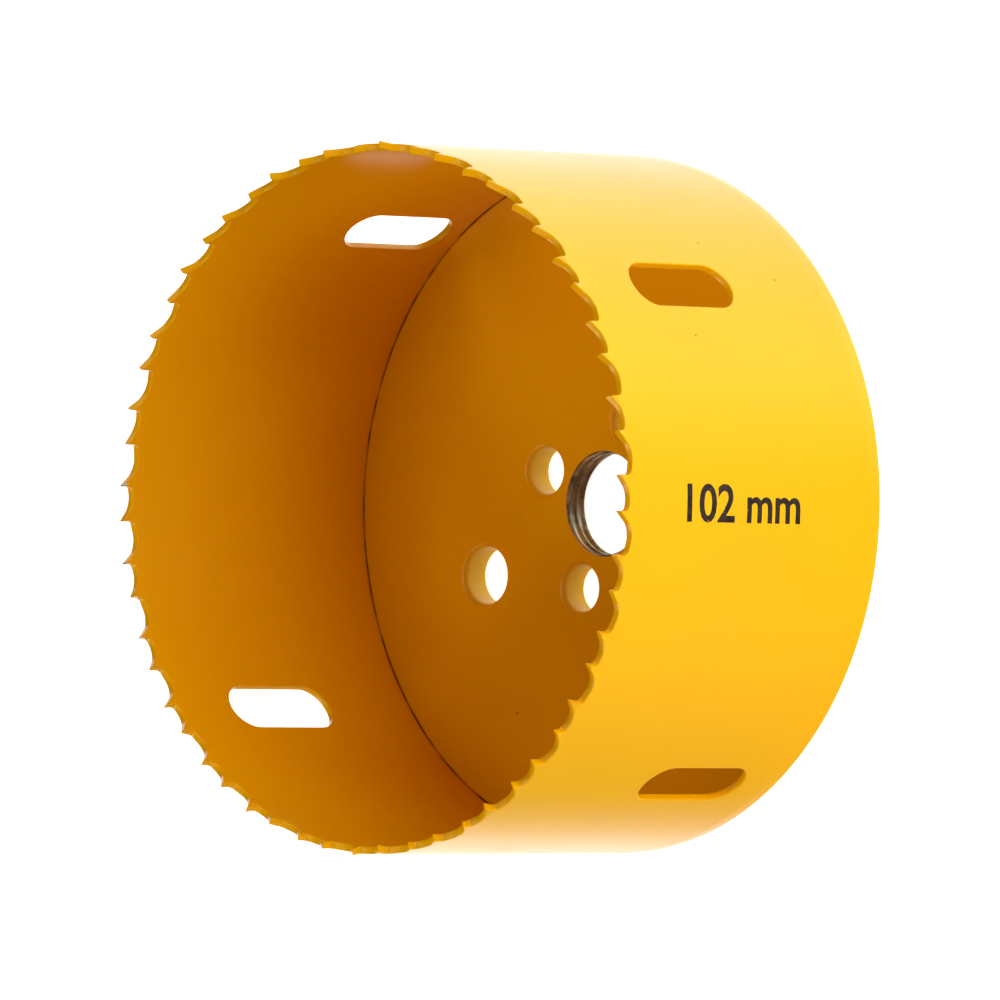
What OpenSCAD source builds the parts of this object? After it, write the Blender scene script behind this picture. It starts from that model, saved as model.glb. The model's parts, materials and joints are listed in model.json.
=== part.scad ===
// Hole saw: a rolled and toothed steel cup on a back plate that is tapped for an arbor.
// It stands on its back face at z = 0, with its axis on Z and its teeth up, in millimetres.

/* [Cup] */
// Cutting diameter over the teeth that aren't bent
cup_d = 101.6; // [90:0.1:115]
// Height from the back face to the tooth tips
cup_h = 53.4; // [48:0.1:60]
// Thickness of the rolled band
wall_t = 1.1; // [0.9:0.05:1.4]

/* [Teeth] */
// Groups of four teeth around the rim
tooth_groups = 14; // [13:1:16]
// Share of each pair of spaces that the long space takes
long_share = 0.55; // [0.5:0.01:0.57]
// Depth of the gullet in a short space
short_depth = 1.75; // [1.5:0.05:2]
// Depth of the gullet in a long space
long_depth = 2.45; // [2.2:0.05:2.8]
// Slope of a tooth's back after a short space
short_back_deg = 40; // [36:1:46]
// Slope of a tooth's back after a long space
long_back_deg = 48; // [44:1:52]
// Radius at the foot of the cutting face
root_r = 0.7; // [0.5:0.05:0.9]
// Radius where the gullet floor turns up into the back of a tooth
floor_r = 3; // [2.4:0.1:3.4]
// Flat land at the tip
tip_land = 0.15; // [0.1:0.05:0.3]
// How far the tip of a bent tooth stands out of or into the wall
tooth_set = 0.3; // [0:0.05:0.5]
// Turn of the first tooth from +X
tooth_turn = 12.2; // [0:0.1:25]

/* [Chip slots] */
// Width of a slot around the cup
slot_w = 7.5; // [6:0.1:10]
// Length of a slot along the axis
slot_l = 20; // [14:0.5:22]
// Height of the centre of each low slot
low_slot_z = 17.4; // [16:0.1:20]
// Height of the centre of each high slot
high_slot_z = 31; // [29:0.1:34]
// Turn of the first slot from +X
slot_turn = 0; // [0:1:90]

/* [Back plate] */
// Thickness of the plate
plate_t = 4.4; // [4:0.1:5]
// Height of the shoulder that carries the cup
shoulder_z = 2.6; // [2.4:0.1:3]
// Height at which the rim starts to taper in towards the back
taper_z = 2.2; // [1.5:0.05:2.3]
// How far in the rim tapers
rim_taper = 0.15; // [0.05:0.05:0.4]
// Rounding of the back edge
rim_r = 0.25; // [0.1:0.05:1]
// Clearance between the plate's spigot and the cup
seat_gap = 0.05; // [0.03:0.01:0.1]
// Bevel that leads the spigot into the cup
spigot_bevel = 0.35; // [0.2:0.05:0.6]

/* [Arbor fitting] */
// Minor diameter of the arbor thread
thread_minor_d = 14.7; // [12:0.1:16]
// Bevel at the front mouth of the thread
thread_front_bevel = 0.3; // [0.2:0.05:0.8]
// Bevel at the back mouth of the thread
thread_back_bevel = 1.1; // [0.2:0.05:1.4]
// Number of holes for the arbor's drive pins
pin_count = 4; // [2:2:4]
// Diameter of the circle that the pin holes lie on
pin_circle_d = 26.4; // [26:0.1:30]
// Diameter of a pin hole
pin_hole_d = 6.8; // [6:0.1:7.4]
// Turn of the first pin hole from +X
pin_turn = 31.2; // [0:0.1:90]
// Diameter of the circle that the two relief holes lie on
relief_circle_d = 52.9; // [48:0.1:60]
// Diameter of a relief hole
relief_hole_d = 8.3; // [7:0.1:12]
// Turn of the first relief hole from +X
relief_turn = 76.1; // [61:0.1:91]
// Rounding at the front mouths of the pin holes and relief holes
front_lip_r = 0.5; // [0.3:0.05:0.8]
// Rounding at their back mouths
back_lip_r = 0.2; // [0.1:0.05:0.8]

/* [Hidden] */

// Paint colour, and how finely round shapes are drawn
paint = "#f2b800";
$fn = 180;

cup_r = cup_d / 2;
bore_r = cup_r - wall_t;

// Cutters run past the faces that they cut by this much
over = 1;

// Teeth: every pair has a short space, then a long one. The set repeats every four teeth.
teeth = 4 * tooth_groups;
pair_deg = 360 / (2 * tooth_groups);
long_deg = pair_deg * long_share;
short_deg = pair_deg - long_deg;
set_pattern = [1, -1, 0, 0];

// The bend starts this far above the floor of a short gullet, and a bent tooth's root
// reaches this far below the bend into the band
bend_rise = 0.25;
root_sink = 0.2;
bend_z = cup_h - short_depth + bend_rise;

// A gullet's floor slopes down from the foot of the cutting face at this angle
floor_slope = 12;

// Straight facets in each gullet radius
arc_steps = 5;

// Slots alternate low and high
slot_count = 4;

// Tooth i, and the space between its cutting face and the next tooth's tip
function is_short(i) = i % 2 == 0;
function space_deg(i) = is_short(i) ? short_deg : long_deg;
function space_len(i) = 2 * cup_r * sin(space_deg(i) / 2);
function gullet_depth(i) = is_short(i) ? short_depth : long_depth;
function back_deg(i) = is_short(i) ? short_back_deg : long_back_deg;
function tip_turn(i) = tooth_turn + floor(i / 2) * pair_deg + (i % 2) * short_deg;
function set_of(i) = tooth_set * set_pattern[i % len(set_pattern)];

// How far the floor's lowest place lies from the next tip, and its angle from this tip
function back_run(depth, deg) =
    tip_land + (depth - floor_r * (1 - cos(deg))) / tan(deg) + floor_r * sin(deg);
function low_run(i) = space_len(i) - back_run(gullet_depth(i), back_deg(i));
function low_deg(i) = low_run(i) / cup_r * 180 / PI;

// Points of an arc, from one angle to another
function arc(cx, cy, r, from, to) =
    [for (k = [0:arc_steps]) let (a = from + (to - from) * k / arc_steps) [cx + r * cos(a), cy + r * sin(a)]];

// The air of a gullet: an upright cutting face, its root radius, a floor that slopes down,
// and a radius that turns up into the straight back of the next tooth.
// x runs around the rim from this tip towards the next one, and y is the height.
module gullet_outline(i) {
    deg = back_deg(i);
    floor_z = cup_h - gullet_depth(i) + floor_r;
    slope_x = low_run(i) - floor_r * sin(floor_slope);
    slope_z = floor_z - floor_r * cos(floor_slope);
    root_z = slope_z + (slope_x - root_r) * tan(floor_slope) + root_r / cos(floor_slope);
    polygon(concat(
        [[0, cup_h + over]],
        arc(root_r, root_z, root_r, 180, 270 - floor_slope),
        arc(low_run(i), floor_z, floor_r, 270 - floor_slope, 270 + deg),
        [[space_len(i) - tip_land + over / tan(deg), cup_h + over]]
    ));
}

// That outline pushed through the wall towards the axis
module gullet(i) {
    rotate([90, 0, 90 + tip_turn(i) + space_deg(i) / 2])
        translate([-space_len(i) / 2, 0, bore_r - tooth_set - over])
            linear_extrude(wall_t + 2 * tooth_set + 2 * over) gullet_outline(i);
}

// A stretch of rim from the gullet before tooth i to the one after it
module rim_sector(i) {
    last = (i + teeth - 1) % teeth;
    before = space_deg(last) - low_deg(last);
    rotate([0, 0, tip_turn(i) - before])
        rotate_extrude(angle = before + low_deg(i)) children();
}

// A tooth that leans by its set above the bend
module bent_tooth(i) {
    lean = set_of(i);
    difference() {
        rim_sector(i)
            polygon([
                [bore_r, bend_z - root_sink], [cup_r, bend_z - root_sink], [cup_r, bend_z],
                [cup_r + lean, cup_h], [bore_r + lean, cup_h], [bore_r, bend_z]
            ]);
        gullet((i + teeth - 1) % teeth);
        gullet(i);
    }
}

// An opening with round ends that lets chips out and a bar in to lever the slug
module chip_slot(z) {
    end_gap = slot_l - slot_w;
    translate([0, 0, z]) {
        for (side = [-1, 1])
            translate([bore_r - over, 0, side * end_gap / 2])
                rotate([0, 90, 0])
                    cylinder(h = wall_t + 2 * over, d = slot_w);
        translate([bore_r - over, -slot_w / 2, -end_gap / 2])
            cube([wall_t + 2 * over, slot_w, end_gap]);
    }
}

// The rolled band: a ring cut by the gullets and slots, whose bent teeth take the place of straight ones
module toothed_shell() {
    color(paint)
        union() {
            difference() {
                rotate_extrude()
                    translate([bore_r, shoulder_z]) square([wall_t, cup_h - shoulder_z]);
                for (i = [0:teeth - 1])
                    if (set_of(i) != 0)
                        rim_sector(i)
                            translate([bore_r - over, bend_z]) square([wall_t + 2 * over, cup_h]);
                for (i = [0:teeth - 1]) gullet(i);
                for (k = [0:slot_count - 1])
                    rotate([0, 0, slot_turn + k * 360 / slot_count])
                        chip_slot(k % 2 == 0 ? low_slot_z : high_slot_z);
            }
            for (i = [0:teeth - 1])
                if (set_of(i) != 0) bent_tooth(i);
        }
}

// Half section of the plate: a blanked disc with a slight taper and a rounded edge towards its
// back, and a spigot that enters the cup
module plate_section() {
    spigot_r = bore_r - seat_gap;
    foot_r = cup_r - rim_taper;
    polygon([
        [0, 0], [foot_r - rim_r, 0], [foot_r, rim_r], [cup_r, taper_z], [cup_r, shoulder_z],
        [spigot_r, shoulder_z], [spigot_r, plate_t - spigot_bevel],
        [spigot_r - spigot_bevel, plate_t], [0, plate_t]
    ]);
    intersection() {
        translate([foot_r - rim_r, rim_r]) circle(rim_r);
        translate([foot_r - rim_r, 0]) square(rim_r);
    }
}

// A drilled hole whose two mouths are rounded over
module lipped_hole(r) {
    rotate_extrude()
        difference() {
            union() {
                translate([0, -over]) square([r, plate_t + 2 * over]);
                translate([0, -over]) square([r + back_lip_r, back_lip_r + over]);
                translate([0, plate_t - front_lip_r]) square([r + front_lip_r, front_lip_r + over]);
            }
            translate([r + back_lip_r, back_lip_r]) circle(back_lip_r);
            translate([r + front_lip_r, plate_t - front_lip_r]) circle(front_lip_r);
        }
}

// The tapped hole at its minor diameter, with a bevel at each mouth
module arbor_hole() {
    r = thread_minor_d / 2;
    translate([0, 0, -over])
        cylinder(h = plate_t + 2 * over, r = r);
    translate([0, 0, -over])
        cylinder(h = thread_back_bevel + over, r1 = r + thread_back_bevel + over, r2 = r);
    translate([0, 0, plate_t - thread_front_bevel])
        cylinder(h = thread_front_bevel + over, r1 = r, r2 = r + thread_front_bevel + over);
}

module back_plate() {
    color(paint)
        difference() {
            rotate_extrude() plate_section();
            arbor_hole();
            for (k = [0:pin_count - 1])
                rotate([0, 0, pin_turn + k * 360 / pin_count])
                    translate([pin_circle_d / 2, 0, 0]) lipped_hole(pin_hole_d / 2);
            for (k = [0:1])
                rotate([0, 0, relief_turn + k * 180])
                    translate([relief_circle_d / 2, 0, 0]) lipped_hole(relief_hole_d / 2);
        }
}

toothed_shell();
back_plate();
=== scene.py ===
import json
import math

import bpy
from mathutils import Matrix, Quaternion, Vector


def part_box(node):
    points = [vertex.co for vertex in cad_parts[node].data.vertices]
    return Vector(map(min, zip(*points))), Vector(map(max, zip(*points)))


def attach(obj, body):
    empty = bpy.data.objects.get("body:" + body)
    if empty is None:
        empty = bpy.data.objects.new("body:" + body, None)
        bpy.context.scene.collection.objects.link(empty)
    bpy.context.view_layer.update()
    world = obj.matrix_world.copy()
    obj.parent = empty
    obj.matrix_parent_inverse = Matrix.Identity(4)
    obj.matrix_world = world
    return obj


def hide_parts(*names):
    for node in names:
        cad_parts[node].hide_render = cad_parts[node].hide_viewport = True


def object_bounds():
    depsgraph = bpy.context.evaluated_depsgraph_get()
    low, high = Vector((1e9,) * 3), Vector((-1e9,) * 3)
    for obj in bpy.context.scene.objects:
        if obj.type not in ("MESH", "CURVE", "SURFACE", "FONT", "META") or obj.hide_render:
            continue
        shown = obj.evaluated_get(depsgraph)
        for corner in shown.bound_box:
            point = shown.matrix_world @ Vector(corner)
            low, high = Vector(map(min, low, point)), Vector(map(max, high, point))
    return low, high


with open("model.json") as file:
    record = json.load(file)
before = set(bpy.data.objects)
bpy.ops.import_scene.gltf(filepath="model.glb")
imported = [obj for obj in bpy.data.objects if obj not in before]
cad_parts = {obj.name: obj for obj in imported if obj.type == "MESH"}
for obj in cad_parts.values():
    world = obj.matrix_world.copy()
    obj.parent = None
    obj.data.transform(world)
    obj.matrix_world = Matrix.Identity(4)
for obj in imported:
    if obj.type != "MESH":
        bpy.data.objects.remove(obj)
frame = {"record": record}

bl_info = {
    "name": "Hole saw",
    "version": (1, 0, 0),
    "blender": (4, 5, 0),
    "location": "3D View > Sidebar > Hole saw",
    "description": "Builds the painted surfaces, the thread and the size marking of a hole saw",
    "category": "Add Mesh",
}

# Pieces are modelled with one unit to the millimetre, and brought to metres when they are finished
MM = 0.001

CAD_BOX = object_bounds()
SHELL_LOW, SHELL_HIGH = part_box("toothed_shell")
PLATE_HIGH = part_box("back_plate")[1]
SHELL_FOOT_Z = SHELL_LOW.z / MM
TIP_Z = SHELL_HIGH.z / MM
PLATE_TOP_Z = PLATE_HIGH.z / MM
CUP_R = PLATE_HIGH.x / MM
MOUNTS = {mount["name"]: mount["dims"] for mount in frame["record"]["mounts"]}
THREAD = MOUNTS["arbor_thread"]
PINS = MOUNTS["drive_pin_holes"]

# Set of the four teeth that repeat round the rim: outwards, inwards, none, none
SET_PATTERN = (1, -1, 0, 0)
# Chip slots round the cup, low and high in turn, and relief holes in the plate
SLOT_COUNT = 4
RELIEF_COUNT = 2
# A gullet's radii and a slot's round ends are drawn in this many steps
GULLET_STEPS = 6
SLOT_END_STEPS = 10
# The wall has this many flat columns for each group of teeth
COLUMNS = 12
# Points closer together than this are one point, in millimetres
NEAR = 1e-3
# A point this close to the plane of a slice lies on it, in millimetres
ON_PLANE = 1e-4
# A face looks along an axis when its normal has more than this along it
FACING = 0.9
# Cutters reach past the faces that they cut by this much
OVER = 1.0
# A hole's flared lip is drawn in this many steps, and clears the face by this much
LIP_STEPS = 6
LIP_CLEAR = 0.01
# Sides of a drilled hole, and of the bevels of the tapped hole
HOLE_SIDES = 64
BEVEL_SIDES = 96
# The tap has more turns than the plate is thick, with this many steps in a turn and across a ridge
TAP_TURNS = 7
TAP_STEPS = 72
RIDGE_STEPS = 16
# An edge can get a rounding where it bends by more than the first angle, and it is shaded as a
# sharp one where it bends by more than the second
ROUNDED_ABOVE = math.radians(60)
SHARP_ABOVE = math.radians(40)

# The soft boxes: turn and rise in degrees, and power in watts
LAMPS = {
    "key": (-102, 14, 3.1), "right_fill": (-10, 25, 0.7), "left_fill": (180, 25, 0.65),
    "far_fill": (110, 35, 2.0), "top_fill": (52, 85, 1.0)}

# The pale screen behind the saw comes in between these parts of a direction's X, and of its Z
SCREEN_SIDE = (-0.4, 0.15)
SCREEN_TOP = (0.0, -0.1)
# Radius of the floor in metres, and width of the camera's sensor in millimetres
FLOOR_R = 3.0
SENSOR_W = 36

# How far the paint's roughness drifts up and down from patch to patch
GLOSS_DRIFT = 0.03
# Sizes of the patterns in the finishes, in millimetres
COAT_PATCH = 25
PEEL_PITCH = 1.8
PEEL_DEPTH = 0.006
# Width and patch size of the grime and painted shade in the seam between the plate and the wall
GRIME_AND_SHADE_W = 0.35
GRIME_AND_SHADE_PATCH = 4
CHIP_NOTCH = 0.4
OIL_RUN = 3
OIL_RUN_WIDTH = 1.2
TURNING_LENGTH = 5
TURNING_PITCH = 0.15
TURNING_DEPTH = 0.02
INK_PATCH = 0.8
PINHOLE_GAP = 0.9
HAZE_PATCH = 60

# Settings that many nodes share
COLOURS = {"data_type": "RGBA"}
SOFT_STEP = {"interpolation_type": "SMOOTHSTEP"}
PRODUCT = {"operation": "MULTIPLY"}

# Specks of dust on the outside of the wall: turn in degrees and height in millimetres
WALL_SPECKS = ((-80.5, 21.8), (-88.3, 10.8), (-99.8, 32.8), (-202.2, 32), (-203.5, 28.8))
# A speck on the plate's face in the cup: distance from the axis in millimetres and turn in degrees
PLATE_SPECK = (35.1, 113.3)
SPECK_R = 0.22
# Teeth that have lost paint at the tip, and how far down it is gone in millimetres
CHIPPED_TIPS = ((6, 0.85), (8, 0.2))
CHIP_R = 0.85
CHIP_SOFT = 0.15
# Further than anything on the saw, in millimetres
FAR = 1000.0


def length(name, default, description):
    return bpy.props.FloatProperty(
        name=name, description=description, default=default * MM, min=0.0, precision=5,
        subtype="DISTANCE", unit="LENGTH")


def angle(name, default, description):
    return bpy.props.FloatProperty(
        name=name, description=description, default=math.radians(default), subtype="ANGLE",
        unit="ROTATION")


def share(name, default, description):
    return bpy.props.FloatProperty(
        name=name, description=description, default=default, min=0.0, max=1.0, subtype="FACTOR")


def number(name, default, description):
    return bpy.props.FloatProperty(name=name, description=description, default=default, min=0.0)


def colour(name, default, description):
    return bpy.props.StringProperty(name=name, description=description, default=default)


class HOLESAW_PG_shell(bpy.types.PropertyGroup):
    wall: length("Wall", 1.1, "Thickness of the rolled band")
    groups: bpy.props.IntProperty(
        name="Tooth groups", description="Groups of four teeth", default=14, min=1)
    tooth_turn: angle("Tooth turn", 12.2, "Turn of the first tooth from +X")
    long_share: share("Long share", 0.55, "Share of a pair of spaces that the long one takes")
    short_depth: length("Short gullet", 1.75, "Depth of the gullet in a short space")
    long_depth: length("Long gullet", 2.45, "Depth of the gullet in a long space")
    short_back: angle("Back after short", 40, "Slope of a tooth's back after a short space")
    long_back: angle("Back after long", 48, "Slope of a tooth's back after a long space")
    floor_slope: angle("Floor slope", 12, "Fall of the gullet's floor from the foot of the cutting face")
    root_r: length("Root radius", 0.7, "Radius at the foot of the cutting face")
    floor_r: length("Floor radius", 3.0, "Radius where the floor turns up into the next tooth's back")
    land: length("Tip land", 0.15, "Flat land at a tooth's tip")
    tooth_set: length("Set", 0.3, "How far a bent tooth's tip stands out of or into the wall")
    bend_drop: length("Bend", 1.4, "How far below the tips the teeth are bent")
    tooth_lip: length("Tooth lip", 0.16, "Rounding of the paint at the edges of the teeth")
    slot_w: length("Slot width", 7.5, "Width of a chip slot round the cup")
    slot_l: length("Slot length", 20, "Length of a chip slot along the axis")
    low_slot_z: length("Low slot", 17.4, "Height of the middle of a low slot")
    high_slot_z: length("High slot", 31, "Height of the middle of a high slot")
    slot_lip: length("Slot lip", 0.22, "Rounding of the paint at a slot's outer edge")
    slot_inner_lip: length("Slot inner lip", 0.15, "Rounding of the paint at a slot's inner edge")


class HOLESAW_PG_plate(bpy.types.PropertyGroup):
    shoulder_z: length("Shoulder", 2.6, "Height of the shoulder that carries the shell")
    taper_z: length("Taper height", 2.2, "Height at which the rim starts to taper in towards the back")
    rim_taper: length("Rim taper", 0.15, "How far in the rim tapers")
    rim_r: length("Rim", 0.25, "Rounding of the back edge")
    seam: length("Seam", 0.05, "Gap between the spigot and the shell")
    spigot_bevel: length("Spigot bevel", 0.2, "Bevel at the top of the spigot")
    pin_circle: length("Pin circle", PINS["pcd_mm"], "Diameter of the drive-pin circle")
    pin_hole: length("Pin hole", 2 * PINS["hole_r_mm"], "Diameter of a drive-pin hole")
    pin_turn: angle("Pin turn", 31.2, "Turn of the first drive-pin hole from +X")
    relief_circle: length("Relief circle", 52.9, "Diameter of the circle of the relief holes")
    relief_hole: length("Relief hole", 8.3, "Diameter of a relief hole")
    relief_turn: angle("Relief turn", 76.1, "Turn of the first relief hole from +X")
    front_lip: length("Front lip", 0.85, "Rounding of the paint at the holes' front mouths")
    back_lip: length("Back lip", 0.2, "Rounding of the paint at the holes' back mouths")
    thread_minor: length("Thread minor", 2 * THREAD["r_mm"], "Minor diameter of the thread")
    thread_major: length("Thread major", 15.8, "Major diameter of the thread")
    thread_pitch: length("Thread pitch", 25.4 / 18, "Pitch of the thread, 18 turns to the inch")
    thread_front: length("Thread front", 0.3, "Bevel at the thread's front mouth")
    thread_back: length("Thread back", 1.1, "Bevel at the thread's back mouth")


class HOLESAW_PG_marking(bpy.types.PropertyGroup):
    turn: angle("Turn", -128, "Turn of the marking's middle from +X")
    height: length("Height", 29, "Height of the marking's middle")
    size: length("Size", 7.5, "Height of the type")
    bold: length("Bold", 0.14, "How far the strokes are widened on each side")
    film: length("Film", 0.02, "Thickness of the ink")


class HOLESAW_PG_finish(bpy.types.PropertyGroup):
    enamel: colour("Enamel", "#F8B800", "Colour of the paint outside")
    enamel_thick: colour("Enamel, thick", "#F4B100", "Colour of the paint outside where it is thick")
    # The colours in the cup are painted shade, deeper copies of the paint outside
    enamel_inside_shaded: colour("Enamel inside", "#F6AE00", "Colour of the paint in the cup")
    enamel_inside_thick_shaded: colour(
        "Enamel inside, thick", "#F3A800", "Colour of the paint in the cup where it is thick")
    # The paler colour in the holes is thin paint and painted light
    enamel_bore_thin_and_lit: colour(
        "Enamel in the holes", "#E2B828", "Colour of the thin paint on the walls of the holes")
    enamel_roughness: share("Enamel roughness", 0.24, "Roughness of the paint")
    gloss_tint: colour("Gloss tint", "#FFEDA0", "Tint of the paint's gloss where it is seen straight on")
    bore_roughness: share("Roughness in the holes", 0.45, "Roughness of the dry paint in the holes")
    # The seam's dark colour is grime and painted shade in the gap
    grime_and_shade: colour("Grime", "#8A4E0C", "Colour of the grime in the seam")
    dust: colour("Dust", "#7A5A1E", "Colour of a speck of dust in the paint")
    steel: colour("Bare steel", "#C8B4A4", "Colour of bare steel at a chip")
    steel_roughness: share("Steel roughness", 0.42, "Roughness of bare steel")
    oiled: colour("Oiled steel", "#7E7C62", "Colour of the thread under oil")
    # The lighter colour where the oil is thin is partly painted highlight
    oiled_thin_and_highlight: colour("Steel, thin oil", "#C6C8B6", "Colour of the thread where the oil is thin")
    oiled_roughness: share("Oiled roughness", 0.34, "Roughness of the thread under oil")
    ink: colour("Ink", "#241A12", "Colour of the printed marking")
    ink_thin: colour("Ink, thin", "#3A2A1A", "Colour of the marking where the film is thin")
    ink_roughness: share("Ink roughness", 0.45, "Roughness of the printed marking")
    floor: colour("Floor", "#FFFFFF", "Colour of the floor")
    floor_haze: colour("Floor haze", "#FBFBFA", "Colour of the floor where the sheet is hazier")


class HOLESAW_PG_studio(bpy.types.PropertyGroup):
    view_turn: angle("View turn", -128.21, "Turn of the camera's place from +X")
    view_rise: angle("View rise", 45.432, "Elevation of the camera")
    view_roll: angle("View roll", 88.644, "Turn of the camera's top edge towards its right")
    distance: length("Distance", 1901.0, "Distance from the camera to its aim")
    aim: bpy.props.FloatVectorProperty(
        name="Aim", description="Point in the middle of the picture", default=(0.0, -0.00037, 0.02641),
        subtype="XYZ", unit="LENGTH", precision=5)
    lens: number("Lens", 474.6, "Focal length in millimetres, on a sensor 36 mm wide")
    floor_glow: number("Floor glow", 0.9, "Light that the floor gives by itself")
    lamp_distance: length("Lamp distance", 700, "Distance of every lamp from the saw")
    lamp_size: length("Lamp size", 400, "Width of every lamp's soft box")
    screen_glow: number("Screen glow", 1.55, "Brightness of the pale screen behind the saw")


def linear(hex_colour):
    """An sRGB hex colour as linear red, green, blue and alpha."""
    parts = [int(hex_colour[i:i + 2], 16) / 255 for i in (1, 3, 5)]
    return [c / 12.92 if c <= 0.04045 else ((c + 0.055) / 1.055) ** 2.4 for c in parts] + [1.0]


def deselect():
    if bpy.context.mode != "OBJECT":
        bpy.ops.object.mode_set(mode="OBJECT")
    bpy.ops.object.select_all(action="DESELECT")


def choose(obj):
    """Makes obj the only selected object and the active one."""
    deselect()
    obj.select_set(True)
    bpy.context.view_layer.objects.active = obj
    return obj


def edit(obj, kind):
    """Opens obj in edit mode with nothing selected, in vertex, edge or face mode."""
    choose(obj)
    bpy.ops.object.mode_set(mode="EDIT")
    bpy.ops.mesh.select_all(action="DESELECT")
    bpy.ops.mesh.select_mode(type=kind)


def done(obj):
    bpy.ops.object.mode_set(mode="OBJECT")
    return obj


def pick(obj, kind, test):
    """Selects the parts of obj's mesh that pass the test, and leaves it open in edit mode."""
    edit(obj, kind)
    done(obj)
    mesh = obj.data
    parts = {"VERT": mesh.vertices, "EDGE": mesh.edges, "FACE": mesh.polygons}[kind]
    picked = [part for part in parts if test(mesh, part)]
    if not picked:
        raise RuntimeError(f"nothing to select on {obj.name}")
    for part in picked:
        part.select = True
    bpy.ops.object.mode_set(mode="EDIT")


def applied(obj):
    """Puts the object's place, turn and scale into its mesh."""
    choose(obj)
    bpy.ops.object.transform_apply(location=True, rotation=True, scale=True)
    return obj


def started(name):
    """The primitive that was just added, under its name, with its turn and scale in its mesh."""
    obj = bpy.context.object
    obj.name = name
    obj.data.name = name
    return applied(obj)


def modify(obj, kind, **settings):
    """Adds a modifier, sets it and applies it."""
    choose(obj)
    modifier = obj.modifiers.new(kind.lower(), kind)
    for key, value in settings.items():
        setattr(modifier, key, value)
    bpy.ops.object.modifier_apply(modifier=modifier.name)
    return obj


def cut(obj, cutter):
    """Takes the cutter's shape out of obj, with the cutter's material on the faces that it leaves."""
    modify(
        obj, "BOOLEAN", operation="DIFFERENCE", solver="EXACT", object=cutter,
        material_mode="TRANSFER")
    bpy.data.objects.remove(cutter)
    return obj


def merge(obj, distance):
    """Joins the points of obj that lie within the distance of each other."""
    edit(obj, "VERT")
    bpy.ops.mesh.select_all(action="SELECT")
    bpy.ops.mesh.remove_doubles(threshold=distance)
    return done(obj)


def fix_normals(obj):
    """Turns all faces of a closed mesh outwards."""
    edit(obj, "FACE")
    bpy.ops.mesh.select_all(action="SELECT")
    bpy.ops.mesh.normals_make_consistent(inside=False)
    return done(obj)


def slice_at(obj, place, normal):
    """Cuts new edges into the whole mesh where a plane crosses it."""
    edit(obj, "VERT")
    bpy.ops.mesh.select_all(action="SELECT")
    bpy.ops.mesh.bisect(plane_co=place, plane_no=normal, threshold=ON_PLANE)
    return done(obj)


def normals_by_edge(mesh):
    """The directions of the faces that meet at each edge."""
    found = {}
    for face in mesh.polygons:
        for key in face.edge_keys:
            found.setdefault(key, []).append(face.normal.copy())
    return found


def round_edges(obj, offset, segments, test):
    """Rounds over the sharp edges whose middle passes the test."""
    normals_of = normals_by_edge(obj.data)

    def sharp(mesh, edge):
        normals = normals_of.get(edge.key, ())
        if len(normals) != 2 or normals[0].angle(normals[1], 0.0) < ROUNDED_ABOVE:
            return False
        return test(sum((mesh.vertices[v].co for v in edge.vertices), Vector()) / 2)

    pick(obj, "EDGE", sharp)
    bpy.ops.mesh.bevel(offset=offset, segments=segments, affect="EDGES", clamp_overlap=False)
    return done(obj)


def roll(obj, radius, sweep, turn):
    """Bends a flat piece round the axis: its y = 0 comes to the radius, and its x = 0 to the turn."""
    modify(obj, "SIMPLE_DEFORM", deform_method="BEND", deform_axis="Z", angle=sweep)
    obj.location.y = -radius
    applied(obj)
    obj.rotation_euler.z = turn + math.pi / 2
    return applied(obj)


def finish_piece(obj, slot, *nodes):
    """Brings a piece to metres, smooths it, and puts it on the body in place of its solid."""
    obj.scale = (MM, MM, MM)
    applied(obj)
    bpy.ops.object.shade_smooth_by_angle(angle=SHARP_ABOVE, keep_sharp_edges=False)
    modify(obj, "WEIGHTED_NORMAL", mode="FACE_AREA", keep_sharp=True)
    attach(obj, "root")
    if nodes:
        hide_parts(*nodes)
    return obj


def add_node(tree, kind, settings=None, **links):
    """Adds a node. Settings are its own values. A link is named for its socket, or i and its number."""
    node = tree.nodes.new(kind)
    for key, value in (settings or {}).items():
        setattr(node, key, value)
    for name, value in links.items():
        socket = node.inputs[int(name[1:]) if name[1:].isdigit() else name.replace("_", " ")]
        if isinstance(value, bpy.types.NodeSocket):
            tree.links.new(value, socket)
        else:
            socket.default_value = value
    return node


def new_material(name):
    """An empty node material, its tree, and the place of a point on the piece in millimetres."""
    material = bpy.data.materials.new(name)
    material.use_nodes = True
    tree = material.node_tree
    tree.nodes.clear()
    place = add_node(tree, "ShaderNodeTexCoord").outputs["Object"]
    in_mm = add_node(tree, "ShaderNodeVectorMath", {"operation": "SCALE"}, Vector=place, Scale=1 / MM)
    return material, tree, in_mm.outputs["Vector"]


def spots(tree, place, points, reach, soft):
    """1 near any of the points and 0 further away than the reach, in millimetres, with a soft edge."""
    nearest = FAR
    for point in points:
        gap = add_node(
            tree, "ShaderNodeVectorMath", {"operation": "DISTANCE"}, i0=place, i1=point).outputs["Value"]
        nearest = add_node(
            tree, "ShaderNodeMath", {"operation": "MINIMUM"}, i0=gap, i1=nearest).outputs[0]
    spot = add_node(
        tree, "ShaderNodeMapRange", SOFT_STEP, Value=nearest, From_Min=reach, From_Max=reach - soft)
    return spot.outputs["Result"]


def around(radius, turn, height):
    """A point at a turn in degrees round the cup and a height, in millimetres."""
    return (radius * math.cos(math.radians(turn)), radius * math.sin(math.radians(turn)), height)


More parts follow.
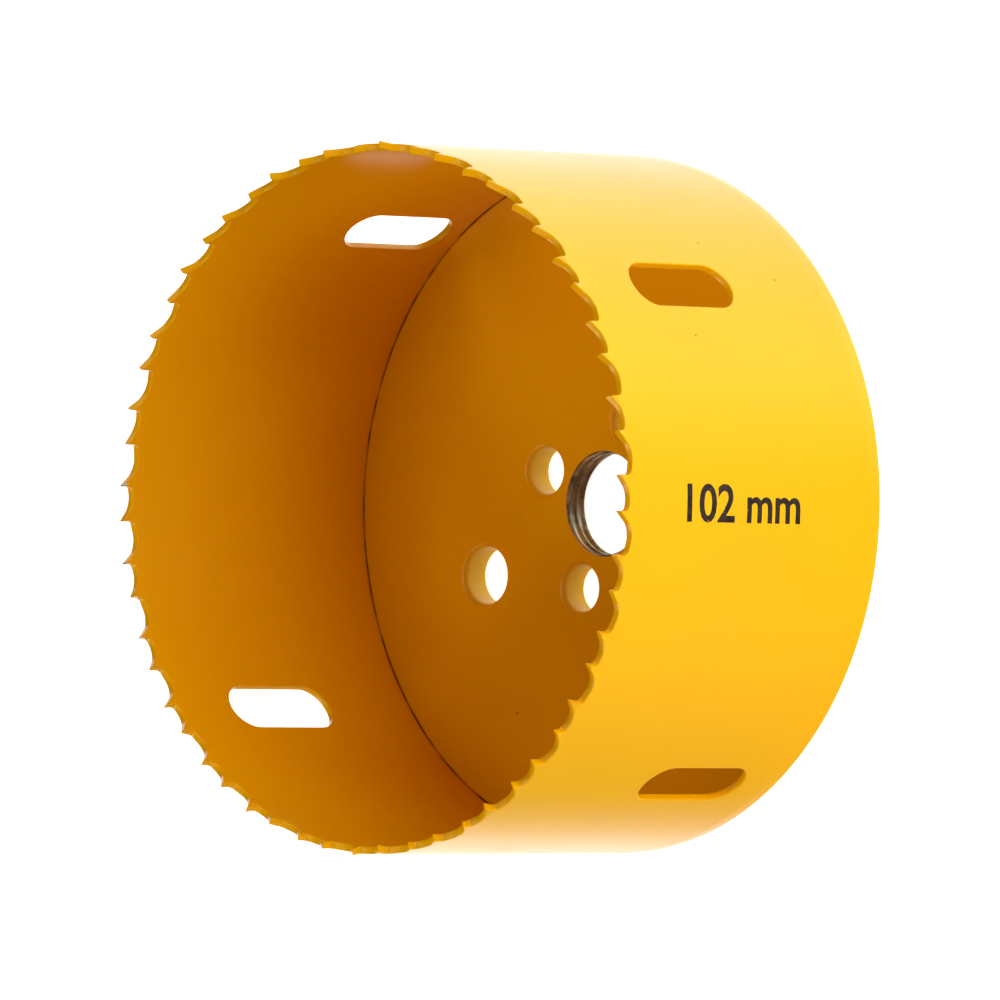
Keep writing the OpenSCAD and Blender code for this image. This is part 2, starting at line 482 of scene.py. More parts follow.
def seam_grime_and_shade(tree, place, radius, height, wall):
    """Grime and painted shade in the seam between the plate and the wall, which come and go in patches.
    """
    beside = add_node(
        tree, "ShaderNodeMath", {"operation": "SUBTRACT"}, i0=radius, i1=CUP_R - wall).outputs[0]
    beside = add_node(tree, "ShaderNodeMath", {"operation": "ABSOLUTE"}, i0=beside).outputs[0]
    beside = add_node(
        tree, "ShaderNodeMapRange", SOFT_STEP, Value=beside, From_Min=GRIME_AND_SHADE_W, From_Max=GRIME_AND_SHADE_W - 0.2)
    low = add_node(
        tree, "ShaderNodeMapRange", SOFT_STEP, Value=height, From_Min=PLATE_TOP_Z + GRIME_AND_SHADE_W,
        From_Max=PLATE_TOP_Z + GRIME_AND_SHADE_W - 0.3)
    patches = add_node(
        tree, "ShaderNodeTexNoise", Vector=place, Scale=1 / GRIME_AND_SHADE_PATCH, Detail=1.0).outputs["Fac"]
    patches = add_node(
        tree, "ShaderNodeMapRange", SOFT_STEP, Value=patches, From_Min=0.25, From_Max=0.65, To_Max=0.8)
    grime_and_shade = add_node(
        tree, "ShaderNodeMath", PRODUCT, i0=beside.outputs["Result"],
        i1=low.outputs["Result"]).outputs[0]
    return add_node(tree, "ShaderNodeMath", PRODUCT, i0=grime_and_shade, i1=patches.outputs["Result"]).outputs[0]


def bore_walls(tree, radius, height):
    """The walls of the plate's holes, from the rounding of their lips down, where little paint goes and
    where a paler colour is painted light.
    """
    # The shell, the plate's rim and its spigot are left out
    inward = add_node(
        tree, "ShaderNodeMapRange", SOFT_STEP, Value=radius, From_Min=CUP_R - 2, From_Max=CUP_R - 3)
    down = add_node(
        tree, "ShaderNodeMapRange", SOFT_STEP, Value=height, From_Min=PLATE_TOP_Z,
        From_Max=PLATE_TOP_Z - 0.6)
    # The back face is painted as the outside is
    off_back = add_node(
        tree, "ShaderNodeMapRange", SOFT_STEP, Value=height, From_Min=0.02, From_Max=0.3)
    bore = add_node(
        tree, "ShaderNodeMath", PRODUCT, i0=inward.outputs["Result"],
        i1=down.outputs["Result"]).outputs[0]
    return add_node(
        tree, "ShaderNodeMath", PRODUCT, i0=bore, i1=off_back.outputs["Result"]).outputs[0]


def lost_paint(tree, place, shell):
    """The tips that have lost their paint, with a ragged outline."""
    middle_r = CUP_R - shell.wall / MM / 2
    notches = add_node(
        tree, "ShaderNodeTexNoise", Vector=place, Scale=1 / CHIP_NOTCH, Detail=1.0).outputs["Color"]
    # The noise lies about 0.5 on each axis, so that much is taken off before it moves the outline
    notches = add_node(
        tree, "ShaderNodeVectorMath", {"operation": "SUBTRACT"}, i0=notches,
        i1=(0.5, 0.5, 0.5)).outputs[0]
    notches = add_node(
        tree, "ShaderNodeVectorMath", {"operation": "SCALE"}, i0=notches, Scale=0.7).outputs[0]
    torn = add_node(tree, "ShaderNodeVectorMath", {"operation": "ADD"}, i0=place, i1=notches).outputs[0]
    tips = [around(middle_r, tip_turn(shell, i), TIP_Z + CHIP_R - down) for i, down in CHIPPED_TIPS]
    return spots(tree, torn, tips, CHIP_R, CHIP_SOFT)


def enamel_material(shell, finish):
    """Baked enamel, sprayed: yellow with a golden gloss and a faint orange peel, with painted shade in a
    deeper colour in the cup.
    Dust is caught in it as small dark specks, and two tips have lost it down to the steel."""
    if "baked_enamel" in bpy.data.materials:
        return bpy.data.materials["baked_enamel"]
    material, tree, place = new_material("baked_enamel")
    wall = shell.wall / MM
    flat = add_node(tree, "ShaderNodeVectorMath", PRODUCT, i0=place, i1=(1, 1, 0)).outputs[0]
    radius = add_node(tree, "ShaderNodeVectorMath", {"operation": "LENGTH"}, i0=flat).outputs["Value"]
    height = add_node(tree, "ShaderNodeSeparateXYZ", i0=place).outputs["Z"]
    # The cup's inside and the cut edges of the wall have the deeper colour, which is painted shade: a
    # more orange copy of the paint for the light bounced round in the cup
    within = add_node(
        tree, "ShaderNodeMapRange", SOFT_STEP, Value=radius, From_Min=CUP_R - 0.02 * wall,
        From_Max=CUP_R - 0.12 * wall)
    above = add_node(
        tree, "ShaderNodeMapRange", SOFT_STEP, Value=height, From_Min=SHELL_FOOT_Z,
        From_Max=PLATE_TOP_Z - 0.1)
    inside = add_node(
        tree, "ShaderNodeMath", PRODUCT, i0=within.outputs["Result"],
        i1=above.outputs["Result"]).outputs[0]
    thin = add_node(
        tree, "ShaderNodeMix", COLOURS, i0=inside, i6=linear(finish.enamel),
        i7=linear(finish.enamel_inside_shaded))
    thick = add_node(
        tree, "ShaderNodeMix", COLOURS, i0=inside, i6=linear(finish.enamel_thick),
        i7=linear(finish.enamel_inside_thick_shaded))
    # The coat runs a little thicker and thinner in patches
    drift = add_node(
        tree, "ShaderNodeTexNoise", Vector=place, Scale=1 / COAT_PATCH, Detail=0.0).outputs["Fac"]
    coat = add_node(
        tree, "ShaderNodeMix", COLOURS, i0=drift, i6=thin.outputs[2], i7=thick.outputs[2]).outputs[2]
    # The walls of the holes take thin paint and a paler colour that is painted light
    bore = bore_walls(tree, radius, height)
    coat = add_node(
        tree, "ShaderNodeMix", COLOURS, i0=bore, i6=coat, i7=linear(finish.enamel_bore_thin_and_lit)).outputs[2]
    # The seam between the plate and the wall is darkened with grime and painted shade
    grime_and_shade = seam_grime_and_shade(tree, place, radius, height, wall)
    coat = add_node(
        tree, "ShaderNodeMix", COLOURS, i0=grime_and_shade, i6=coat, i7=linear(finish.grime_and_shade)).outputs[2]
    specks = [around(CUP_R, turn, z) for turn, z in WALL_SPECKS]
    specks.append(around(*PLATE_SPECK, PLATE_TOP_Z))
    dusty = spots(tree, place, specks, SPECK_R, SPECK_R / 2)
    coat = add_node(
        tree, "ShaderNodeMix", COLOURS, i0=dusty, i6=coat, i7=linear(finish.dust)).outputs[2]
    bare = lost_paint(tree, place, shell)
    coat = add_node(
        tree, "ShaderNodeMix", COLOURS, i0=bare, i6=coat, i7=linear(finish.steel)).outputs[2]
    # Orange peel: shallow dimples that break up the highlights a little
    peel = add_node(
        tree, "ShaderNodeTexNoise", Vector=place, Scale=1 / PEEL_PITCH, Detail=0.0).outputs["Fac"]
    bump = add_node(tree, "ShaderNodeBump", Strength=1.0, Distance=PEEL_DEPTH * MM, Height=peel)
    gloss = add_node(
        tree, "ShaderNodeMapRange", Value=drift, To_Min=finish.enamel_roughness - GLOSS_DRIFT,
        To_Max=finish.enamel_roughness + GLOSS_DRIFT).outputs["Result"]
    gloss = add_node(
        tree, "ShaderNodeMix", {"data_type": "FLOAT"}, i0=bore, i2=gloss,
        i3=finish.bore_roughness).outputs[0]
    gloss = add_node(
        tree, "ShaderNodeMix", {"data_type": "FLOAT"}, i0=bare, i2=gloss,
        i3=finish.steel_roughness).outputs[0]
    shader = add_node(
        tree, "ShaderNodeBsdfPrincipled", Base_Color=coat, Metallic=bare, Roughness=gloss,
        Specular_Tint=linear(finish.gloss_tint), Normal=bump.outputs["Normal"])
    add_node(tree, "ShaderNodeOutputMaterial", Surface=shader.outputs[0])
    return material


def thread_material(finish):
    """Turned steel under thread oil: dull bronze, with broken streaks of light along its ridges."""
    if "oiled_steel" in bpy.data.materials:
        return bpy.data.materials["oiled_steel"]
    material, tree, place = new_material("oiled_steel")
    # Oil lies in runs round the thread, and the lighter steel between the runs is partly painted
    # highlight
    along = add_node(
        tree, "ShaderNodeMapping", Vector=place,
        Scale=(1 / OIL_RUN, 1 / OIL_RUN, 1 / OIL_RUN_WIDTH)).outputs["Vector"]
    runs = add_node(
        tree, "ShaderNodeTexNoise", Vector=along, Scale=1.0, Detail=4.0, Roughness=0.6).outputs["Fac"]
    oiled = add_node(
        tree, "ShaderNodeMapRange", SOFT_STEP, Value=runs, From_Min=0.38,
        From_Max=0.62).outputs["Result"]
    # Turning leaves fine marks, long round the thread and close together along it
    marks = add_node(
        tree, "ShaderNodeMapping", Vector=place,
        Scale=(1 / TURNING_LENGTH, 1 / TURNING_LENGTH, 1 / TURNING_PITCH)).outputs["Vector"]
    turned = add_node(tree, "ShaderNodeTexNoise", Vector=marks, Scale=1.0, Detail=2.0).outputs["Fac"]
    bump = add_node(tree, "ShaderNodeBump", Strength=1.0, Distance=TURNING_DEPTH * MM, Height=turned)
    gloss = add_node(
        tree, "ShaderNodeMapRange", Value=oiled, To_Min=finish.steel_roughness,
        To_Max=finish.oiled_roughness).outputs["Result"]
    # The lighter steel where the oil is thin is partly painted highlight
    steel = add_node(
        tree, "ShaderNodeMix", COLOURS, i0=oiled, i6=linear(finish.oiled_thin_and_highlight), i7=linear(finish.oiled))
    shader = add_node(
        tree, "ShaderNodeBsdfPrincipled", Base_Color=steel.outputs[2], Metallic=1.0, Roughness=gloss,
        Normal=bump.outputs["Normal"])
    add_node(tree, "ShaderNodeOutputMaterial", Surface=shader.outputs[0])
    return material


def ink_material(finish):
    """Pad-printed ink: a dark warm film, flatter than the enamel below it, with small pinholes."""
    material, tree, place = new_material("pad_print_ink")
    # The film is uneven, and lets the yellow through at pinholes of about 0.1 mm
    uneven = add_node(
        tree, "ShaderNodeTexNoise", Vector=place, Scale=1 / INK_PATCH, Detail=3.0).outputs["Fac"]
    uneven = add_node(tree, "ShaderNodeMapRange", SOFT_STEP, Value=uneven, From_Min=0.35, From_Max=0.65)
    film = add_node(
        tree, "ShaderNodeMix", COLOURS, i0=uneven.outputs["Result"], i6=linear(finish.ink),
        i7=linear(finish.ink_thin))
    pores = add_node(
        tree, "ShaderNodeTexVoronoi", Vector=place, Scale=1 / PINHOLE_GAP).outputs["Distance"]
    pores = add_node(tree, "ShaderNodeMapRange", SOFT_STEP, Value=pores, From_Min=0.12, From_Max=0.06)
    film = add_node(
        tree, "ShaderNodeMix", COLOURS, i0=pores.outputs["Result"], i6=film.outputs[2],
        i7=linear(finish.enamel_thick))
    shader = add_node(
        tree, "ShaderNodeBsdfPrincipled", Base_Color=film.outputs[2], Roughness=finish.ink_roughness)
    add_node(tree, "ShaderNodeOutputMaterial", Surface=shader.outputs[0])
    return material


def floor_material(finish, studio):
    """Opal acrylic, lit from below: it glows evenly, a touch mottled, and still takes a faint shadow."""
    material, tree, place = new_material("opal_acrylic")
    # The sheet's haze changes from patch to patch
    haze = add_node(
        tree, "ShaderNodeTexNoise", Vector=place, Scale=1 / HAZE_PATCH, Detail=2.0).outputs["Fac"]
    glow = add_node(
        tree, "ShaderNodeMix", COLOURS, i0=haze, i6=linear(finish.floor),
        i7=linear(finish.floor_haze)).outputs[2]
    shader = add_node(
        tree, "ShaderNodeBsdfPrincipled", Base_Color=glow, Roughness=0.8, Emission_Color=glow,
        Emission_Strength=studio.floor_glow)
    add_node(tree, "ShaderNodeOutputMaterial", Surface=shader.outputs[0])
    # The floor isn't sampled as a lamp, so its glow isn't mirrored in the paint
    material.cycles.emission_sampling = "NONE"
    return material


def tip_turn(shell, i):
    """The turn of tooth i's tip from +X, in degrees."""
    pair = 360 / (2 * shell.groups)
    return math.degrees(shell.tooth_turn) + (i // 2) * pair + (i % 2) * pair * (1 - shell.long_share)


def tip_x(shell, i, mid_r):
    """Where tooth i's tip lies along the flat band, with the first one at zero."""
    pair = math.tau * mid_r / (2 * shell.groups)
    return (i // 2) * pair + (i % 2) * pair * (1 - shell.long_share)


def gullet(shell, i, mid_r):
    """The gullet after tooth i: its length, its lowest place, and its two corners with their radii."""
    is_short = i % 2 == 0
    depth = (shell.short_depth if is_short else shell.long_depth) / MM
    back = shell.short_back if is_short else shell.long_back
    fall = shell.floor_slope
    floor_r = shell.floor_r / MM
    space = tip_x(shell, i + 1, mid_r) - tip_x(shell, i, mid_r)
    # The floor's lowest place lies before its radius, the straight back and the next tooth's land
    straight = (depth - floor_r * (1 - math.cos(back))) / math.tan(back)
    low_x = space - floor_r * math.sin(back) - straight - shell.land / MM
    centre = Vector((low_x, 0, TIP_Z - depth + floor_r))
    return {
        "space": space, "low_x": low_x, "back": back,
        "slope": centre - floor_r * Vector((math.sin(fall), 0, math.cos(fall))),
        "rise": centre + floor_r * Vector((math.sin(back), 0, -math.cos(back))),
        "root_bevel": shell.root_r / MM * math.tan((math.pi / 2 - fall) / 2),
        "floor_bevel": floor_r * math.tan((fall + back) / 2),
    }


def through_cutter(name, x, z, width, height, wall):
    """An upright plane in front of the flat band, from which a cutter is pushed through it."""
    deselect()
    bpy.ops.mesh.primitive_plane_add(
        size=1, location=(x, -wall / 2 - OVER, z), rotation=(math.pi / 2, 0, 0))
    bpy.context.object.scale = (width, height, 1)
    return started(name)


def push_through(cutter, wall):
    """Extrudes that plane through the wall and out behind it."""
    edit(cutter, "FACE")
    bpy.ops.mesh.select_all(action="SELECT")
    bpy.ops.mesh.extrude_region_move(TRANSFORM_OT_translate={"value": (0, wall + 2 * OVER, 0)})
    done(cutter)
    return fix_normals(cutter)


def gullet_cutter(shell, i, mid_r):
    """The air of a gullet: a plane cut along the floor and the back, with both corners rounded."""
    g = gullet(shell, i, mid_r)
    fall = shell.floor_slope
    low_z = TIP_Z - 2 * shell.long_depth / MM
    top_z = TIP_Z + OVER
    width = g["space"] + OVER
    cutter = through_cutter(
        "gullet_cutter", width / 2, (low_z + top_z) / 2, width, top_z - low_z, shell.wall / MM)
    for place, normal in (
            (g["slope"], (math.sin(fall), 0, math.cos(fall))),
            (g["rise"], (-math.sin(g["back"]), 0, math.cos(g["back"])))):
        edit(cutter, "VERT")
        bpy.ops.mesh.select_all(action="SELECT")
        bpy.ops.mesh.bisect(plane_co=place, plane_no=normal, clear_inner=True, threshold=ON_PLANE)
        done(cutter)
    corners = sorted((v.co.copy() for v in cutter.data.vertices if v.co.z < TIP_Z), key=lambda co: co.x)
    for corner, bevel in zip(corners, (g["root_bevel"], g["floor_bevel"])):
        pick(cutter, "VERT", lambda mesh, v: (v.co - corner).length < NEAR)
        bpy.ops.mesh.bevel(
            offset=bevel, segments=GULLET_STEPS, affect="VERTICES", clamp_overlap=False)
        done(cutter)
    push_through(cutter, shell.wall / MM)
    cutter.location.x = tip_x(shell, i, mid_r)
    return applied(cutter)


def slot_cutter(shell, x, z):
    """A chip slot's opening with round ends."""
    width = shell.slot_w / MM
    cutter = through_cutter("slot_cutter", x, z, width, shell.slot_l / MM, shell.wall / MM)
    edit(cutter, "VERT")
    bpy.ops.mesh.select_all(action="SELECT")
    bpy.ops.mesh.bevel(
        offset=width / 2 - NEAR, segments=SLOT_END_STEPS, affect="VERTICES", clamp_overlap=False)
    done(cutter)
    return push_through(cutter, shell.wall / MM)


def end_faces(start, whole):
    """A test for the faces at the two ends of the flat band."""
    return lambda mesh, f: abs(f.normal.x) > FACING and min(
        abs(f.center.x - start), abs(f.center.x - start - whole)) < NEAR


def toothed_band(shell, mid_r):
    """The flat band with all its gullets, open at both ends, and where it starts."""
    group = math.tau * mid_r / shell.groups
    last = gullet(shell, 3, mid_r)
    start = last["low_x"] - last["space"]
    deselect()
    bpy.ops.mesh.primitive_cube_add(size=1, location=(start + group / 2, 0, (SHELL_FOOT_Z + TIP_Z) / 2))
    bpy.context.object.scale = (group, shell.wall / MM, TIP_Z - SHELL_FOOT_Z)
    band = started("enamelled_shell")
    for i in (-1, 0, 1, 2, 3):
        cut(band, gullet_cutter(shell, i, mid_r))
    pick(band, "FACE", end_faces(start, group))
    bpy.ops.mesh.delete(type="ONLY_FACE")
    done(band)
    modify(band, "ARRAY", count=shell.groups, use_relative_offset=False, use_constant_offset=True,
           constant_offset_displace=(group, 0, 0), use_merge_vertices=True, merge_threshold=NEAR)
    return band, start


def cut_slots(band, shell, mid_r, start):
    """Closes the band's ends, cuts the slots, and opens the ends again."""
    whole = math.tau * mid_r
    for end in (start, start + whole):
        pick(
            band, "EDGE",
            lambda mesh, e: all(abs(mesh.vertices[v].co.x - end) < NEAR for v in e.vertices))
        bpy.ops.mesh.edge_face_add()
        done(band)
    fix_normals(band)
    for k in range(SLOT_COUNT):
        x = (mid_r * (math.tau * k / SLOT_COUNT - shell.tooth_turn) - start) % whole + start
        z = (shell.low_slot_z if k % 2 == 0 else shell.high_slot_z) / MM
        cut(band, slot_cutter(shell, x, z))
    pick(band, "FACE", end_faces(start, whole))
    bpy.ops.mesh.delete(type="ONLY_FACE")
    return done(band)


def set_teeth(band, shell, mid_r):
    """Leans the set teeth outwards and inwards from one bend line, with the wall as thick as it was."""
    bend_z = TIP_Z - shell.bend_drop / MM
    group = math.tau * mid_r / shell.groups
    slice_at(band, (0, 0, bend_z), (0, 0, 1))
    for i, side in enumerate(SET_PATTERN):
        if not side:
            continue
        before = tip_x(shell, i - 1, mid_r) + gullet(shell, i - 1, mid_r)["low_x"]
        tooth_run = tip_x(shell, i, mid_r) + gullet(shell, i, mid_r)["low_x"] - before
        for v in band.data.vertices:
            if v.co.z > bend_z and (v.co.x - before) % group < tooth_run:
                v.co.y -= side * shell.tooth_set * (v.co.z - bend_z) / shell.bend_drop
    return band


class HOLESAW_OT_toothed_shell(bpy.types.Operator):
    """Cuts and sets the teeth on a flat band, opens its chip slots, and rolls it into the shell"""
    bl_idname = "hole_saw.toothed_shell"
    bl_label = "Toothed shell"

    def execute(self, context):
        shell = context.scene.holesaw_shell
        wall = shell.wall / MM
        mid_r = CUP_R - wall / 2
        band, start = toothed_band(shell, mid_r)
        cut_slots(band, shell, mid_r, start)
        # The slots lie between these heights, and the teeth above them
        low_z = SHELL_FOOT_Z + OVER
        high_z = (shell.high_slot_z + shell.slot_l / 2) / MM + OVER
        round_edges(
            band, shell.slot_lip / MM, segments=4, test=lambda co: low_z < co.z < high_z and co.y < 0)
        round_edges(
            band, shell.slot_inner_lip / MM, segments=2,
            test=lambda co: low_z < co.z < high_z and co.y > wall / 2 - NEAR)
        round_edges(
            band, shell.tooth_lip / MM, segments=2,
            test=lambda co: co.z > high_z and abs(co.y) > wall / 4)
        set_teeth(band, shell, mid_r)
        whole = math.tau * mid_r
        columns = COLUMNS * shell.groups
        for k in range(1, columns):
            slice_at(band, (start + whole * k / columns, 0, 0), (1, 0, 0))
        roll(band, mid_r, math.tau, shell.tooth_turn)
        merge(band, 2 * NEAR)
        band.data.materials.clear()
        band.data.materials.append(enamel_material(shell, context.scene.holesaw_finish))
        finish_piece(band, "shell", "toothed_shell")
        return {"FINISHED"}


def tap(plate):
    """A threaded rod, whose ridges are rounded as oil and paint leave them."""
    pitch = plate.thread_pitch / MM
    minor = plate.thread_minor / MM / 2
    depth = plate.thread_major / MM / 2 - minor
    deselect()
    bpy.ops.mesh.primitive_plane_add(
        size=1, location=(minor / 2, 0, pitch / 2), rotation=(math.pi / 2, 0, 0))
    bpy.context.object.scale = (minor, pitch, 1)
    rod = started("tap")
    pick(rod, "EDGE", lambda mesh, e: all(mesh.vertices[v].co.x > minor / 2 for v in e.vertices))
    bpy.ops.mesh.subdivide(number_cuts=RIDGE_STEPS - 1)
    done(rod)
    pick(rod, "VERT", lambda mesh, v: v.co.x < minor / 2)
    bpy.ops.mesh.delete(type="VERT")
    done(rod)
    for v in rod.data.vertices:
        v.co.x = minor + depth * (1 - math.cos(math.tau * v.co.z / pitch)) / 2
    modify(rod, "SCREW", axis="Z", screw_offset=pitch, angle=math.tau, steps=TAP_STEPS,
           render_steps=TAP_STEPS, iterations=TAP_TURNS, use_normal_calculate=True)
    rod.location.z = PLATE_TOP_Z / 2 - pitch * (TAP_TURNS + 1) / 2
    applied(rod)
    merge(rod, NEAR)
    edit(rod, "VERT")
    for z, up in ((-OVER, -1), (PLATE_TOP_Z + OVER, 1)):
        bpy.ops.mesh.select_all(action="SELECT")
        bpy.ops.mesh.bisect(
            plane_co=(0, 0, z), plane_no=(0, 0, up), use_fill=True, clear_outer=True,
            threshold=ON_PLANE)
    done(rod)
    return fix_normals(rod)


def drill(plate, radius, x, y):
    """A round cutter that goes through the plate, and flares out in a quarter round at both mouths."""
    front = plate.front_lip / MM
    back = plate.back_lip / MM
    middle_z = PLATE_TOP_Z / 2
    deselect()
    bpy.ops.mesh.primitive_cylinder_add(
        vertices=HOLE_SIDES, radius=radius, depth=PLATE_TOP_Z - front - back,
        location=(x, y, middle_z + (back - front) / 2))
    cutter = started("drill")
    for up, lip in ((1, front), (-1, back)):
        pick(
            cutter, "FACE",
            lambda mesh, f: f.normal.z * up > FACING and (f.center.z - middle_z) * up > 0)
        # The flare ends a little way above the face, so that the face crosses it cleanly
        rise = lip + LIP_CLEAR
        rings = [(rise * math.sin(a), radius + lip * (1 - math.cos(a)))
                 for a in (math.pi / 2 * k / LIP_STEPS for k in range(LIP_STEPS + 1))]
        for (z0, r0), (z1, r1) in zip(rings, rings[1:]):
            bpy.ops.mesh.extrude_region_move(TRANSFORM_OT_translate={"value": (0, 0, up * (z1 - z0))})
            bpy.ops.transform.resize(value=(r1 / r0, r1 / r0, 1), center_override=(x, y, 0))
        bpy.ops.mesh.extrude_region_move(TRANSFORM_OT_translate={"value": (0, 0, up * OVER)})
        done(cutter)
    return cutter


def countersink(radius, bevel, z, up):
    """A cone that bevels a mouth of the tapped hole."""
    deselect()
    bpy.ops.mesh.primitive_cone_add(
        vertices=BEVEL_SIDES, radius1=radius, radius2=radius + bevel + OVER, depth=bevel + OVER,
        location=(0, 0, z + up * (OVER - bevel) / 2), rotation=(0 if up > 0 else math.pi, 0, 0))
    return started("countersink")


def turned_disc(shell, plate):
    """The plate before it is drilled: a disc with a spigot and a rounded back edge."""
    shoulder = plate.shoulder_z / MM
    deselect()
    bpy.ops.mesh.primitive_cylinder_add(
        vertices=COLUMNS * shell.groups, radius=CUP_R, depth=shoulder,
        location=(0, 0, shoulder / 2), end_fill_type="NGON")
    disc = started("enamelled_plate")
    slice_at(disc, (0, 0, plate.taper_z / MM), (0, 0, 1))
    foot = 1 - plate.rim_taper / MM / CUP_R
    pick(disc, "VERT", lambda mesh, v: v.co.z < NEAR)
    bpy.ops.transform.resize(value=(foot, foot, 1), center_override=(0, 0, 0))
    done(disc)
    pick(disc, "FACE", lambda mesh, f: f.normal.z > FACING)
    bpy.ops.mesh.inset(thickness=(shell.wall + plate.seam) / MM)
    bpy.ops.mesh.extrude_region_move(TRANSFORM_OT_translate={"value": (0, 0, PLATE_TOP_Z - shoulder)})
    done(disc)
    round_edges(disc, plate.rim_r / MM, segments=4, test=lambda co: co.z < NEAR)
    return round_edges(
        disc, plate.spigot_bevel / MM, segments=3, test=lambda co: co.z > PLATE_TOP_Z - NEAR)


class HOLESAW_OT_back_plate(bpy.types.Operator):
    """Turns the plate with its rounded back edge and spigot, and drills and taps its holes"""
    bl_idname = "hole_saw.back_plate"
    bl_label = "Back plate"

    def execute(self, context):
        shell = context.scene.holesaw_shell
        plate = context.scene.holesaw_plate
        finish = context.scene.holesaw_finish
        disc = turned_disc(shell, plate)
        disc.data.materials.append(enamel_material(shell, finish))
        # Diameter, circle, turn of the first and number: of the drive-pin holes, then the relief holes
        for hole, circle, first, count in (
                (plate.pin_hole, plate.pin_circle, plate.pin_turn, PINS["count"]),
                (plate.relief_hole, plate.relief_circle, plate.relief_turn, RELIEF_COUNT)):
            for k in range(count):
                middle = circle / MM / 2 * direction(first + math.tau * k / count, 0)
                cutter = drill(plate, hole / MM / 2, middle.x, middle.y)
                cutter.data.materials.append(enamel_material(shell, finish))
                cut(disc, cutter)
        minor_r = plate.thread_minor / MM / 2
        for cutter in (tap(plate), countersink(minor_r, plate.thread_front / MM, PLATE_TOP_Z, 1),
                       countersink(minor_r, plate.thread_back / MM, 0, -1)):
            cutter.data.materials.append(thread_material(finish))
            cut(disc, cutter)
        merge(disc, NEAR)
        finish_piece(disc, "plate", "back_plate")
        return {"FINISHED"}


class HOLESAW_OT_size_marking(bpy.types.Operator):
    """Prints the saw's cutting diameter on the shell, as a film of ink that follows the wall"""
    bl_idname = "hole_saw.size_marking"
    bl_label = "Size marking"

    def execute(self, context):
        marking = context.scene.holesaw_marking
        deselect()
        bpy.ops.object.text_add()
        text = context.object
        text.data.body = f"{2 * CUP_R:.0f} mm"
        text.data.size = marking.size / MM
        text.data.align_x = "CENTER"
        text.data.align_y = "CENTER"
        text.data.extrude = marking.film / MM / 2
        text.data.offset = marking.bold / MM
        # Curves drawn in more steps than this fold over where the strokes are widened
        text.data.resolution_u = 4
        bpy.ops.object.convert(target="MESH")
        # The type reads from the teeth down to the plate, and the tops of its letters point round the cup
        text.rotation_euler = Matrix(((0, 1, 0), (0, 0, -1), (-1, 0, 0))).to_euler()
        started("size_marking")
        merge(text, NEAR)
        # The film is cut into columns as narrow as the wall's, so that it follows the wall
        column = math.tau * CUP_R / (COLUMNS * context.scene.holesaw_shell.groups)
        reach = max(abs(v.co.x) for v in text.data.vertices)
        for k in range(-int(reach / column), int(reach / column) + 1):
            slice_at(text, (k * column, 0, 0), (1, 0, 0))
        span = max(v.co.x for v in text.data.vertices) - min(v.co.x for v in text.data.vertices)
        roll(text, CUP_R, span / CUP_R, marking.turn)
        text.location.z = marking.height / MM
        applied(text)
        text.data.materials.append(ink_material(context.scene.holesaw_finish))
        finish_piece(text, "shell")
        return {"FINISHED"}


class HOLESAW_OT_studio(bpy.types.Operator):
    """Sets the pale floor, the soft lights and the camera"""
    bl_idname = "hole_saw.studio"
    bl_label = "Studio"

    def execute(self, context):
        finish = context.scene.holesaw_finish
        studio = context.scene.holesaw_studio
        deselect()
        bpy.ops.mesh.primitive_circle_add(vertices=96, radius=FLOOR_R, fill_type="NGON")
        floor = started("floor")
        floor.data.materials.append(floor_material(finish, studio))
        # The glossy paint mirrors the screen below, and not the glow under the saw
        floor.visible_glossy = False
        for name, (turn, rise, power) in LAMPS.items():
            hang_lamp(name, math.radians(turn), math.radians(rise), power, studio)
        surround(context.scene, studio)
        place_camera(context.scene, studio)
        context.scene.view_settings.view_transform = "Standard"
        return {"FINISHED"}


def direction(turn, rise):
    """The unit vector at a turn from +X and a rise from the floor."""
    return Vector((math.cos(rise) * math.cos(turn), math.cos(rise) * math.sin(turn), math.sin(rise)))


def hang_lamp(name, turn, rise, power, studio):
    """A square soft box that faces the middle of the saw."""
    out = direction(turn, rise)
    middle = Vector((0, 0, CAD_BOX[1].z / 2))
    bpy.ops.object.light_add(
        type="AREA", location=middle + studio.lamp_distance * out,
        rotation=(-out).to_track_quat("-Z", "Y").to_euler())
    lamp = bpy.context.object
    lamp.name = name
    lamp.data.size = studio.lamp_size
    lamp.data.energy = power


def surround(scene, studio):
    """A white room, which the paint sees only as a pale screen low down on the +X side."""
    world = bpy.data.worlds.new("surround")
    scene.world = world
    world.use_nodes = True
    tree = world.node_tree
    toward = add_node(tree, "ShaderNodeTexCoord").outputs["Object"]
    axes = add_node(tree, "ShaderNodeSeparateXYZ", i0=toward)
    far = add_node(
        tree, "ShaderNodeMapRange", SOFT_STEP, Value=axes.outputs["X"], From_Min=SCREEN_SIDE[0],
        From_Max=SCREEN_SIDE[1])
    low = add_node(
        tree, "ShaderNodeMapRange", SOFT_STEP, Value=axes.outputs["Z"], From_Min=SCREEN_TOP[0],
        From_Max=SCREEN_TOP[1], To_Max=studio.screen_glow)
    screen = add_node(
        tree, "ShaderNodeMath", PRODUCT, i0=far.outputs["Result"], i1=low.outputs["Result"]).outputs[0]
    seen = add_node(tree, "ShaderNodeLightPath").outputs["Is Camera Ray"]
    strength = add_node(tree, "ShaderNodeMath", {"operation": "MAXIMUM"}, i0=screen, i1=seen).outputs[0]
    background = tree.nodes["Background"]
    background.inputs["Color"].default_value = (1, 1, 1, 1)
    tree.links.new(strength, background.inputs["Strength"])


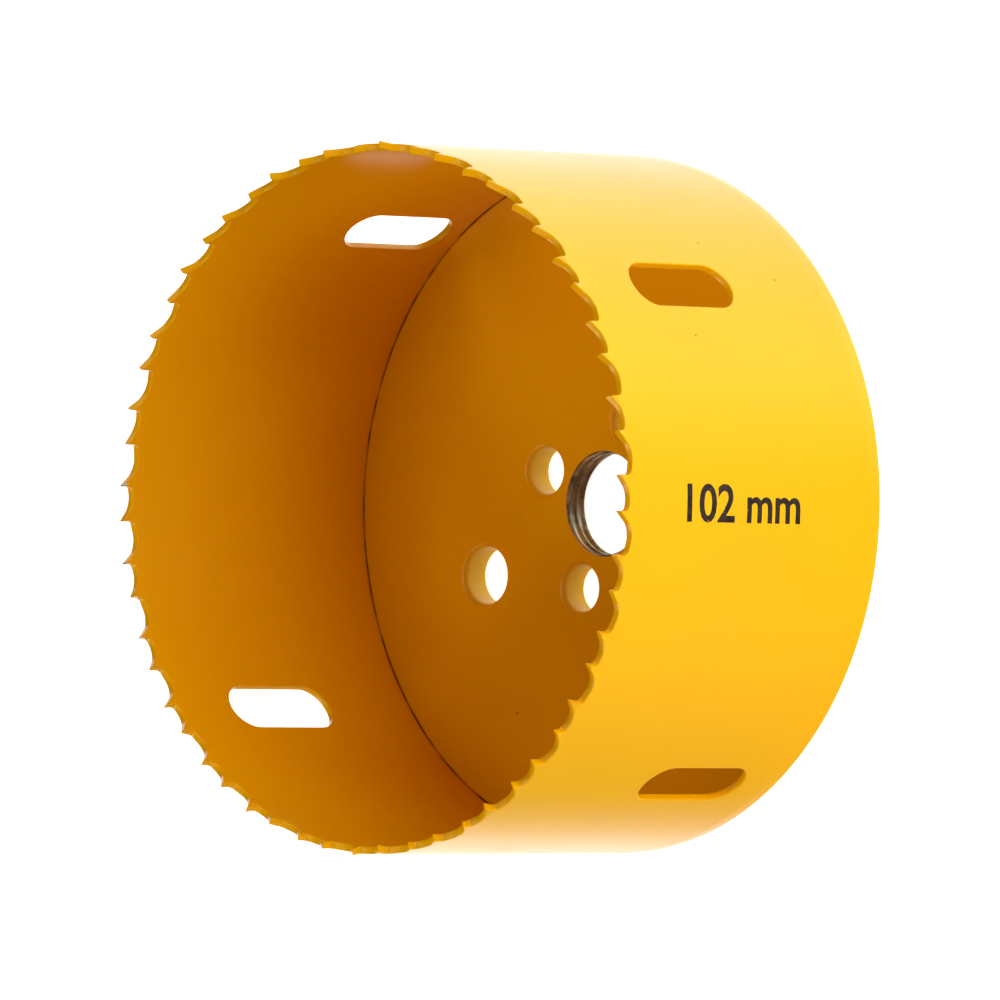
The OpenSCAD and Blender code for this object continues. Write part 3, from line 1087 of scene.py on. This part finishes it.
def place_camera(scene, studio):
    """Stands the camera at its turn, rise and distance from the aim, rolled onto its side."""
    out = direction(studio.view_turn, studio.view_rise)
    upright = (-out).to_track_quat("-Z", "Y")
    bpy.ops.object.camera_add(
        location=Vector(studio.aim) + studio.distance * out,
        rotation=(Quaternion(out, -studio.view_roll) @ upright).to_euler())
    camera = bpy.context.object
    camera.data.sensor_width = SENSOR_W
    camera.data.lens = studio.lens
    camera.data.clip_start = 0.05
    camera.data.clip_end = 20
    scene.camera = camera


class HOLESAW_PT_panel(bpy.types.Panel):
    """Lists the saw's pieces and its studio, with their settings"""
    bl_idname = "HOLESAW_PT_panel"
    bl_label = "Hole saw"
    bl_space_type = "VIEW_3D"
    bl_region_type = "UI"
    bl_category = "Hole saw"

    def draw(self, context):
        for name, group in GROUPS.items():
            box = self.layout.box()
            for key in group.__annotations__:
                box.prop(getattr(context.scene, name), key)
        for operator in OPERATORS:
            self.layout.operator(operator.bl_idname)


GROUPS = {
    "holesaw_shell": HOLESAW_PG_shell,
    "holesaw_plate": HOLESAW_PG_plate,
    "holesaw_marking": HOLESAW_PG_marking,
    "holesaw_finish": HOLESAW_PG_finish,
    "holesaw_studio": HOLESAW_PG_studio,
}
OPERATORS = (HOLESAW_OT_toothed_shell, HOLESAW_OT_back_plate, HOLESAW_OT_size_marking, HOLESAW_OT_studio)


def register():
    for name, group in GROUPS.items():
        bpy.utils.register_class(group)
        setattr(bpy.types.Scene, name, bpy.props.PointerProperty(type=group))
    for item in OPERATORS + (HOLESAW_PT_panel,):
        bpy.utils.register_class(item)


def unregister():
    for item in reversed(OPERATORS + (HOLESAW_PT_panel,)):
        bpy.utils.unregister_class(item)
    for name, group in GROUPS.items():
        delattr(bpy.types.Scene, name)
        bpy.utils.unregister_class(group)


def main():
    register()
    bpy.ops.hole_saw.toothed_shell()
    bpy.ops.hole_saw.back_plate()
    bpy.ops.hole_saw.size_marking()
    bpy.ops.hole_saw.studio()


if __name__ == "__main__":
    main()
